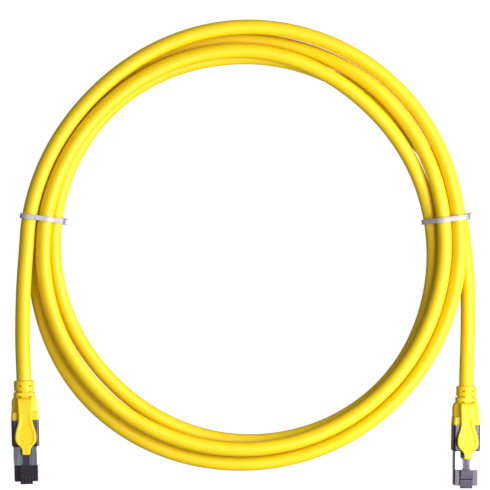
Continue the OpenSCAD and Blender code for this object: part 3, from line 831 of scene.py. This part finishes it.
def roundedBar(low, high, r):
    # eight-sided bar with chamfered long edges, between two corners
    (x0, y0, z0), (x1, y1, z1) = low, high
    rings, part = [], 0.4 * r
    for z, s in ((z0, r), (z0 + part, part), (z0 + r, 0), (z1 - r, 0), (z1 - part, part), (z1, r)):
        corners = [(x0 + s, y0 + s), (x1 - s, y0 + s), (x1 - s, y1 - s), (x0 + s, y1 - s)]
        rings.append([(p[0], p[1], z) for p in roundedOutline(corners, r, 4)])
    return loft(rings)


def strapSkin(inner):
    # the closed strap, with its section set outwards from its inner line
    t, e, w = tie["thickness"], tie["edge"], tie["width"] / 2
    soft = e * 0.3
    section = [(0, -w + e), (soft, -w + soft), (e, -w), (t - e, -w), (t - soft, -w + soft), (t, -w + e)]
    section += [(x, -z) for x, z in reversed(section)]
    rings = []
    for k, p in enumerate(inner):
        line = (inner[(k + 1) % len(inner)] - inner[k - 1]).normalized()
        out = Vector((line.y, -line.x, 0))
        rings.append([tuple(p + out * x + Vector((0, 0, z))) for x, z in section])
    return loft(rings, closedLoop=True)


def makeTeeth(name, line, place, teeth):
    # teeth along the strap's inner face
    spots = bpy.data.meshes.new(name + "Spots")
    spots.from_pydata([tuple(place @ p) for p in line], [], [])
    turns = spots.attributes.new("toothTurn", "FLOAT_VECTOR", "POINT")
    basis = place.to_3x3().normalized()
    for k in range(len(line)):
        along = (line[(k + 1) % len(line)] - line[k - 1]).normalized()
        axes = (Vector((0, 0, 1)), along, Vector((along.y, -along.x, 0)))
        turns.data[k].vector = Matrix([basis @ axis for axis in axes]).transposed().to_euler()
    size = tuple(s * mm for s in tie["toothSize"])
    return useTree(addObject(name + "Teeth", spots), teeth, {"Size": size, "Finish": nylonClear})


def makeTie(name, angle, side, teeth):
    place = tiePlace(angle)
    outline = bandOutline(angle, tie["clear"])
    inner = spacedLine(outline, tie["step"])
    points, faces = strapSkin(inner)
    reach = max(p.x for p in inner) if side > 0 else min(p.x for p in inner)
    outer = reach + side * (tie["thickness"] + tie["headDepth"])
    low, depth = tie["headHeights"][side], tie["headWidth"] / 2
    high = low + tie["headLength"]
    joinSkin(points, faces, roundedBar(
        (min(reach, outer), low, -depth), (max(reach, outer), high, depth), tie["headEdge"]
    ))
    middle, thick, wide = outer - side * tie["stubInset"], tie["thickness"] / 2, tie["width"] / 2
    foot, end = low - tie["stubBelow"], high + tie["stubAbove"]
    joinSkin(points, faces, roundedBar(
        (middle - thick, foot, -wide), (middle + thick, end, wide), tie["stubEdge"]
    ))
    piece = newPiece(name, points, faces, nylonClear, place)
    made = makeTeeth(name, spacedLine(outline, tie["toothPitch"]), place, teeth)
    both = bmesh.new()
    both.from_mesh(piece.data)
    both.from_mesh(made.data)
    both.to_mesh(piece.data)
    both.free()
    bpy.data.objects.remove(made)
    return piece


teeth = toothTree()
tieLeft = makeTie("cableTieLeft", cord["tieAngles"][0], -1, teeth)
tieRight = makeTie("cableTieRight", cord["tieAngles"][1], 1, teeth)
for piece, node in ((tieLeft, "tie_left"), (tieRight, "tie_right")):
    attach(piece, "base")
    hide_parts(node)
print("ties made")


# boot: band, tapered body and slotted strain relief

boot = {
    "bandFrom": 30.5,
    "bandTo": 34.3,
    "bandWidth": 13.5,
    "bandRearWidth": 13.1,
    "bandTop": 9.3,
    "bandEdge": 1.1,
    "bandStraight": 0.6,
    "bandFrontRound": 0.12,
    "bandRearRound": 0.25,
    "bodyTo": 41.6,
    "bodyWidth": 12.7,
    "bodyRearWidth": 11.7,
    "bodyFloor": 0.3,
    "bodyFoot": 0.8,
    "bodyEdge": 0.6,
    "sideTop": 6.4,
    "shoulder": 8.7,
    "shoulderHalf": 2.9,
    # the body's rear draws in towards the neck
    "drawnFrom": 39.0,
    "drawnIn": 1.0,
    "drawnSteps": 8,
    "neckTo": 42.3,
    "frontRingTo": 44.0,
    "notchTo": 44.8,
    "slotFrom": 46.95,
    "slotTo": 47.65,
    "slotRadius": 3.85,
    "frontRingWidth": 10.5,
    "frontRingSink": 0.05,
    "frontRingEdge": 3.6,
    "ringRadius": 5.0,
    "wallRadius": 4.4,
    "ridgeHalf": 1.5,
    "ridgeSink": 0.35,
    "ridgeEdge": 0.4,
    # where the slots beside the ridge lie, from straight up and from straight down
    "slotAngles": (17, 42),
    "slotWall": 0.2,
    "mouthRadius": 3.72,
    "mouthDepth": 3.0,
    "mouthLip": 0.15,
    "round": 0.2,
    "endRound": 0.6,
    "endSteps": 5,
}


def bodyOutline(width, b):
    half, foot, under = width / 2, b["bodyFoot"], b["bodyFloor"]
    right = [
        (half - foot, under), (half, under + foot), (half, b["sideTop"]), (b["shoulderHalf"], b["shoulder"]),
    ]
    return roundedOutline(right + [(-x, z) for x, z in reversed(right)], b["bodyEdge"])


def slotted(reach, b):
    # the same section with its four slots cut in
    def cut(angle):
        away = abs((math.degrees(angle) + 90) % 180 - 90)
        inSlot = b["slotAngles"][0] < away < b["slotAngles"][1]
        return min(reach(angle), b["slotRadius"]) if inSlot else reach(angle)
    return cut


def drawnRings(b, body, bodyRear, front, angles):
    # the body's rear narrows and rounds over to the neck
    rings = []
    for k in range(1, b["drawnSteps"] + 1):
        t = k / b["drawnSteps"]
        drawn = 1 - math.sqrt(max(0, 1 - t * t))

        def reach(a, t=t, drawn=drawn):
            here = body(a) + (bodyRear(a) - body(a)) * t
            return here - min(b["drawnIn"], max(0, here - front(a))) * drawn

        rings.append(ringAt(b["drawnFrom"] + (b["bodyTo"] - b["drawnFrom"]) * t, reach, angles))
    return rings


def makeBoot(plug):
    b, tall = boot, 2 * axisHeight
    outlines = {
        "band": boxOutline(b["bandWidth"], 0, b["bandTop"], b["bandEdge"]),
        "bandRear": boxOutline(b["bandRearWidth"], 0, b["bandTop"], b["bandEdge"]),
        "body": bodyOutline(b["bodyWidth"], b),
        "bodyRear": bodyOutline(b["bodyRearWidth"], b),
        "frontRing": boxOutline(
            b["frontRingWidth"], b["frontRingSink"], tall - b["frontRingSink"], b["frontRingEdge"]
        ),
        "ridge": boxOutline(2 * b["ridgeHalf"], b["ridgeSink"], tall - b["ridgeSink"], b["ridgeEdge"]),
    }
    slotEdges = [
        turn + side * (edge + d) for edge in b["slotAngles"] for d in (-b["slotWall"], b["slotWall"])
        for side in (-1, 1) for turn in (0, 180)
    ]
    n = anglesOf(*outlines.values(), more=[a % 360 for a in slotEdges])
    band, bandRear, body, bodyRear, front, ridge = (reachOf(outline) for outline in outlines.values())
    neck, groove = slotted(front, b), slotted(larger(circleReach(b["wallRadius"]), ridge), b)
    ring, mouth = circleReach(b["ringRadius"]), circleReach(b["mouthRadius"])
    cutRing, lip = slotted(ring, b), b["mouthLip"]
    rings = segmentRings(b["bandFrom"], b["bandFrom"] + b["bandStraight"], band, n, b["bandFrontRound"])
    rings += segmentRings(b["bandTo"] - b["bandStraight"], b["bandTo"], bandRear, n, 0, b["bandRearRound"])
    rings += [ringAt(b["bandTo"], body, n), ringAt(b["drawnFrom"], body, n)]
    rings += drawnRings(b, body, bodyRear, front, n)
    rings += [ringAt(b["bodyTo"], neck, n), ringAt(b["neckTo"], neck, n)]
    rings += segmentRings(b["neckTo"], b["frontRingTo"], front, n, 0, b["round"])
    rings += [ringAt(b["frontRingTo"], groove, n), ringAt(b["notchTo"], groove, n)]
    rings += segmentRings(b["notchTo"], b["slotFrom"], ring, n, b["round"])
    rings += [ringAt(b["slotFrom"], cutRing, n), ringAt(b["slotTo"], cutRing, n)]
    rings += segmentRings(b["slotTo"], plugLength, ring, n, 0, b["endRound"], b["endSteps"])
    rings += [ringAt(plugLength, mouth, n, -lip), ringAt(plugLength - lip, mouth, n)]
    rings += [ringAt(plugLength - b["mouthDepth"], mouth, n)]
    points, faces = loft(rings)
    piece = newPiece("boot" + plug["mark"], points, faces, bootYellow, plugPlace(plug), sharp=40)
    piece = flattened(piece)
    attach(piece, "base")
    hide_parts("boot_" + plug["letter"])


for plug in plugs:
    makeBoot(plug)
print("boots made")


# release lever, with the pad that carries it on the boot

lever = {
    "hinge": (33.0, 10.3),
    "slope": 9.5,
    "thickness": 1.5,
    "top": 0.9,
    "padBack": 8.55,
    "padSlope": 1.6,
    "padDrop": 1.4,
    "padFloor": 8.3,
    "length": 19.6,
    "edge": 0.5,
    "rim": 1.6,
    "rimEase": 1.1,
    # the sunk face, and the stretches that it sinks and rises in
    "sink": 0.2,
    "faceFrom": 1.5,
    "faceTo": 15.0,
    "sinkEase": 3.5,
    "riseEase": 0.8,
    "tipRound": 0.7,
    "tipLowered": 0.6,
    "tipNarrowed": 0.8,
    # the long lower edges
    "underEdge": 0.35,
    "underChamfer": 0.1,
    # the slope comes in over this distance on each side of the hinge
    "bend": 1.2,
    # where the deep root thins to the leaf
    "rootFrom": -0.2,
    "rootEase": 1.3,
    "step": 0.25,
    "leastStep": 0.05,
    # the last sections, behind the tip
    "tipStops": (0.7, 0.5, 0.33, 0.18, 0.08, 0.0),
    # half width at a distance in front of the hinge
    "halfWidths": [
        (-8.55, 3.4), (-7.0, 3.6), (-4, 3.5), (0, 3.35), (2.5, 3.4), (5, 3.95),
        (7.4, 4.7), (9.4, 5.15), (11, 5.25), (12.4, 5.15), (13.6, 4.7), (14.7, 3.8),
        (15.6, 2.95), (16.4, 2.35), (17.4, 2.1), (19.6, 2.05),
    ],
}


def leverHalf(s):
    table = lever["halfWidths"]
    k = max([i for i in range(len(table) - 1) if table[i][0] <= s] or [0])
    t = (s - table[k][0]) / (table[k + 1][0] - table[k][0])
    a, d = table[max(k - 1, 0)], table[min(k + 2, len(table) - 1)]
    return splineValue(a[1], table[k][1], table[k + 1][1], d[1], t)


def smoothStep(x):
    x = max(0.0, min(1.0, x))
    return x * x * (3 - 2 * x)


def leverSlope(s):
    return math.radians(lever["slope"]) * smoothStep((s + lever["bend"]) / (2 * lever["bend"]))


def leverSpine(s):
    # place and slope of the top face's middle line, s in front of the hinge
    y, z = lever["hinge"][0], lever["hinge"][1] + lever["top"]
    step, travelled = 0.1, 0.0
    while travelled < abs(s) - 1e-9:
        d = min(step, abs(s) - travelled)
        if s > 0:
            slope = leverSlope(travelled + d / 2)
            y, z = y - d * math.cos(slope), z + d * math.sin(slope)
        else:
            y += d
        travelled += d
    return y, z, leverSlope(s) if s > -lever["bend"] else 0.0


def leverSection(half, sink, thickness, lowered):
    # closed section across the lever: x sideways, height from the top face
    rim = min(lever["rim"], half * 0.5)
    ease = min(lever["rimEase"], rim * 0.8)
    edge, edgeSteps, rimSteps = lever["edge"], 5, 6
    turns = [math.pi / 2 * k / edgeSteps for k in range(edgeSteps + 1)]
    top = [(half - edge + edge * math.cos(a), edge * (math.sin(a) - 1) - lowered) for a in turns]
    top += [
        (half - rim + ease / 2 - ease * k / rimSteps, -lowered - sink * smoothStep(k / rimSteps))
        for k in range(rimSteps + 1)
    ]
    top += [((half - rim - ease / 2) * f, -lowered - sink) for f in (0.66, 0.33)]
    under, cut = lever["underEdge"], lever["underChamfer"]
    bottom = [(half - under, -thickness), (half - cut, -thickness + cut), (half, -thickness + under)]
    right = bottom + top
    return right + [(-x, h) for x, h in reversed(right)]


def leverRing(s):
    y, z, slope = leverSpine(s)
    half = leverHalf(s)
    into = smoothStep((s - lever["faceFrom"] + lever["sinkEase"]) / lever["sinkEase"])
    outOf = smoothStep((s - lever["faceTo"] + lever["riseEase"]) / lever["riseEase"])
    sink = lever["sink"] * (into * (1 - outOf))
    lowered = 0.0
    fromTip, r = lever["length"] - s, lever["tipRound"]
    if fromTip < r:
        short = r - math.sqrt(max(0, r * r - (r - fromTip) ** 2))
        lowered, half = lever["tipLowered"] * short, half - lever["tipNarrowed"] * short
    intoPad = (-s - lever["padBack"] + lever["padSlope"]) / lever["padSlope"]
    if intoPad > 0:
        lowered += lever["padDrop"] * intoPad * intoPad
    # the pad goes down into the boot, and the root thins out to the leaf in front of it
    depthPad = z - lever["padFloor"]
    thinned = smoothStep((s - lever["rootFrom"]) / lever["rootEase"])
    thickness = depthPad + (lever["thickness"] - depthPad) * thinned
    c, n = math.cos(slope), math.sin(slope)
    return [(x, y + h * n, z + h * c) for x, h in leverSection(half, sink, thickness, lowered)]


def makeLever(plug):
    evenTo = lever["padBack"] + lever["length"] - lever["tipStops"][0] - lever["leastStep"]
    stops = [-lever["padBack"] + lever["step"] * k for k in range(int(evenTo / lever["step"]) + 1)]
    stops += [lever["length"] - d for d in lever["tipStops"]]
    points, faces = loft([leverRing(s) for s in stops])
    place = plugPlace(plug)
    letter = plug["letter"]
    piece = newPiece("releaseLever" + plug["mark"], points, faces, bootYellow, place, sharp=75)
    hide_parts("release_lever_" + letter)
    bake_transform(piece)


for plug in plugs:
    makeLever(plug)
print("release levers made")


# collar: hollow smoky shell behind the shield

collar = {
    "from": 17.2,
    "to": 30.5,
    "width": 13.5,
    "height": 9.3,
    "edge": 1.1,
    "rearRound": 0.12,
    # the front corners are rounded seen from above, and the long front edges less
    "cornerRound": 1.0,
    "cornerSteps": 6,
    "edgeRound": 0.3,
    "straightAfter": 0.5,
    "cavityWidth": 12.0,
    "cavityLow": 1.04,
    "cavityHigh": 7.96,
    "cavityEdge": 0.4,
    "cavityInset": 0.2,
    "rearWall": 1.0,
    "boreRadius": 3.5,
}


def makeCollar(plug):
    c = collar
    outline = boxOutline(c["width"], 0, c["height"], c["edge"])
    hollow = boxOutline(c["cavityWidth"], c["cavityLow"], c["cavityHigh"], c["cavityEdge"])
    n = anglesOf(outline, hollow)
    outer, cavity, bore = reachOf(outline), reachOf(hollow), circleReach(c["boreRadius"])
    corner, inner = c["cornerRound"], c["to"] - c["rearWall"]
    rings = []
    for k in range(c["cornerSteps"] + 1):
        a = math.pi / 2 * k / c["cornerSteps"]
        narrow = corner * (1 - math.sin(a))
        trim = c["edgeRound"] * narrow
        front = boxOutline(c["width"] - 2 * narrow, trim, c["height"] - trim, c["edge"])
        rings.append(ringAt(c["from"] + corner * (1 - math.cos(a)), reachOf(front), n))
    rings += segmentRings(c["from"] + corner + c["straightAfter"], c["to"], outer, n, 0, c["rearRound"])
    rings += [ringAt(c["to"], bore, n), ringAt(inner, bore, n)]
    rings += [ringAt(inner, cavity, n), ringAt(c["from"] + c["cavityInset"], cavity, n)]
    points, faces = loft(rings, closedLoop=True)
    finish, place = collarFinish(plug), plugPlace(plug)
    piece = flattened(newPiece("collar" + plug["mark"], points, faces, finish, place, sharp=40))
    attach(piece, "base")
    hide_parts("collar_" + plug["letter"])


for plug in plugs:
    makeCollar(plug)
print("collars made")


# shield: folded nickel sheet with a spring tongue on each side

shield = {
    "from": 8.0,
    "to": 21.0,
    "width": 11.9,
    "low": 1.09,
    "high": 7.91,
    "edge": 0.5,
    "innerEdge": 0.2,
    "frontRound": 0.12,
    "rearRound": 0.1,
    "sheet": 0.3,
    "tongueFrom": 9.6,
    "tongueLength": 5.6,
    "tongueHeight": 2.4,
    "tongueTaper": 0.35,
    "tongueRise": 0.22,
    "tongueBow": 0.8,
    "tongueSunk": 0.05,
    "tongueFoot": 0.1,
    "tongueBevel": 0.15,
    "tongueSteps": 12,
}


def tongueSkin(side):
    # a spring tongue that bows outwards from the side wall
    c = shield
    x, middle, rings = side * c["width"] / 2, (c["low"] + c["high"]) / 2, []
    for k in range(c["tongueSteps"] + 1):
        t = k / c["tongueSteps"]
        y = c["tongueFrom"] + c["tongueLength"] * t
        foot = x - side * c["tongueFoot"]
        bow = x + side * (c["tongueRise"] * math.sin(math.pi * t) ** c["tongueBow"] - c["tongueSunk"])
        h = c["tongueHeight"] / 2 * (1 - c["tongueTaper"] * t)
        crest = h - c["tongueBevel"]
        section = ((foot, -h), (bow, -crest), (bow, crest), (foot, h))
        rings.append([(px, y, middle + pz) for px, pz in section])
    return loft(rings)


def makeShield(plug):
    c, sheet = shield, shield["sheet"]
    outline = boxOutline(c["width"], c["low"], c["high"], c["edge"])
    hollow = boxOutline(c["width"] - 2 * sheet, c["low"] + sheet, c["high"] - sheet, c["innerEdge"])
    n = anglesOf(outline, hollow)
    outer, inner = reachOf(outline), reachOf(hollow)
    rings = segmentRings(c["from"], c["to"], outer, n, c["frontRound"], c["rearRound"])
    rings += [ringAt(c["to"], inner, n), ringAt(c["from"], inner, n)]
    points, faces = loft(rings, closedLoop=True)
    for side in (-1, 1):
        joinSkin(points, faces, tongueSkin(side))
    place = plugPlace(plug)
    piece = flattened(newPiece("frontShield" + plug["mark"], points, faces, nickel, place, sharp=40))
    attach(piece, "base")
    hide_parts("front_shield_" + plug["letter"])


for plug in plugs:
    makeShield(plug)
print("shields made")


# nose and latch: the frame's own solids with softened edges

softEdges = {
    "plug_housing": {"piece": "nose", "finish": noseFinish, "width": 0.1, "body": "base"},
    "latch": {"piece": "latch", "finish": latchFinish, "width": 0.1, "body": "latch"},
}


def makeSoftened(plug, kind, c):
    node = kind + "_" + plug["letter"]
    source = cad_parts[node]
    mesh = source.data.copy()
    mesh.transform(source.matrix_world)
    work = bmesh.new()
    work.from_mesh(mesh)
    bmesh.ops.remove_doubles(work, verts=work.verts, dist=0.001 * mm)
    bmesh.ops.dissolve_limit(work, angle_limit=math.radians(1), verts=work.verts, edges=work.edges)
    work.to_mesh(mesh)
    work.free()
    mesh.materials.clear()
    mesh.materials.append(c["finish"](plug))
    piece = softened(addObject(c["piece"] + plug["mark"], mesh), c["width"])
    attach(piece, "base" if c["body"] == "base" else "latch_" + plug["letter"])
    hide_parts(node)


for plug in plugs:
    for kind, c in softEdges.items():
        makeSoftened(plug, kind, c)
print("noses and latches made")


# pieces that keep the frame's own shape

innerFinishes = {
    "contacts": gold,
    "wire_manager": managerWhite,
    "pair_foils": foilBright,
    "braid": braidTinned,
    "ferrule": ferruleSteel,
    "jacket_end": jacketYellow,
}


def paintNode(node, finish):
    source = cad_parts[node]
    source.data.materials.clear()
    source.data.materials.append(finish)


for plug in plugs:
    for kind, finish in innerFinishes.items():
        paintNode(kind + "_" + plug["letter"], finish)
    paintNode("wires_" + plug["letter"], wireFinish(plug))
print("inner pieces painted")


# floor

half = studio["floorSide"] / 2
corners = [(-half, -half, 0), (half, -half, 0), (half, half, 0), (-half, half, 0)]
floorFinish, _, floorShader = newFinish("paleFloor", studio["floorRoughness"])
floor = newPiece("floor", corners, [(0, 1, 2, 3)], floorFinish)
floorShader.inputs["Base Color"].default_value = studio["floorColour"]
floorShader.inputs["Emission Color"].default_value = (1, 1, 1, 1)
floorShader.inputs["Emission Strength"].default_value = studio["floorGlow"]
floor.visible_glossy = False
floor.visible_diffuse = False
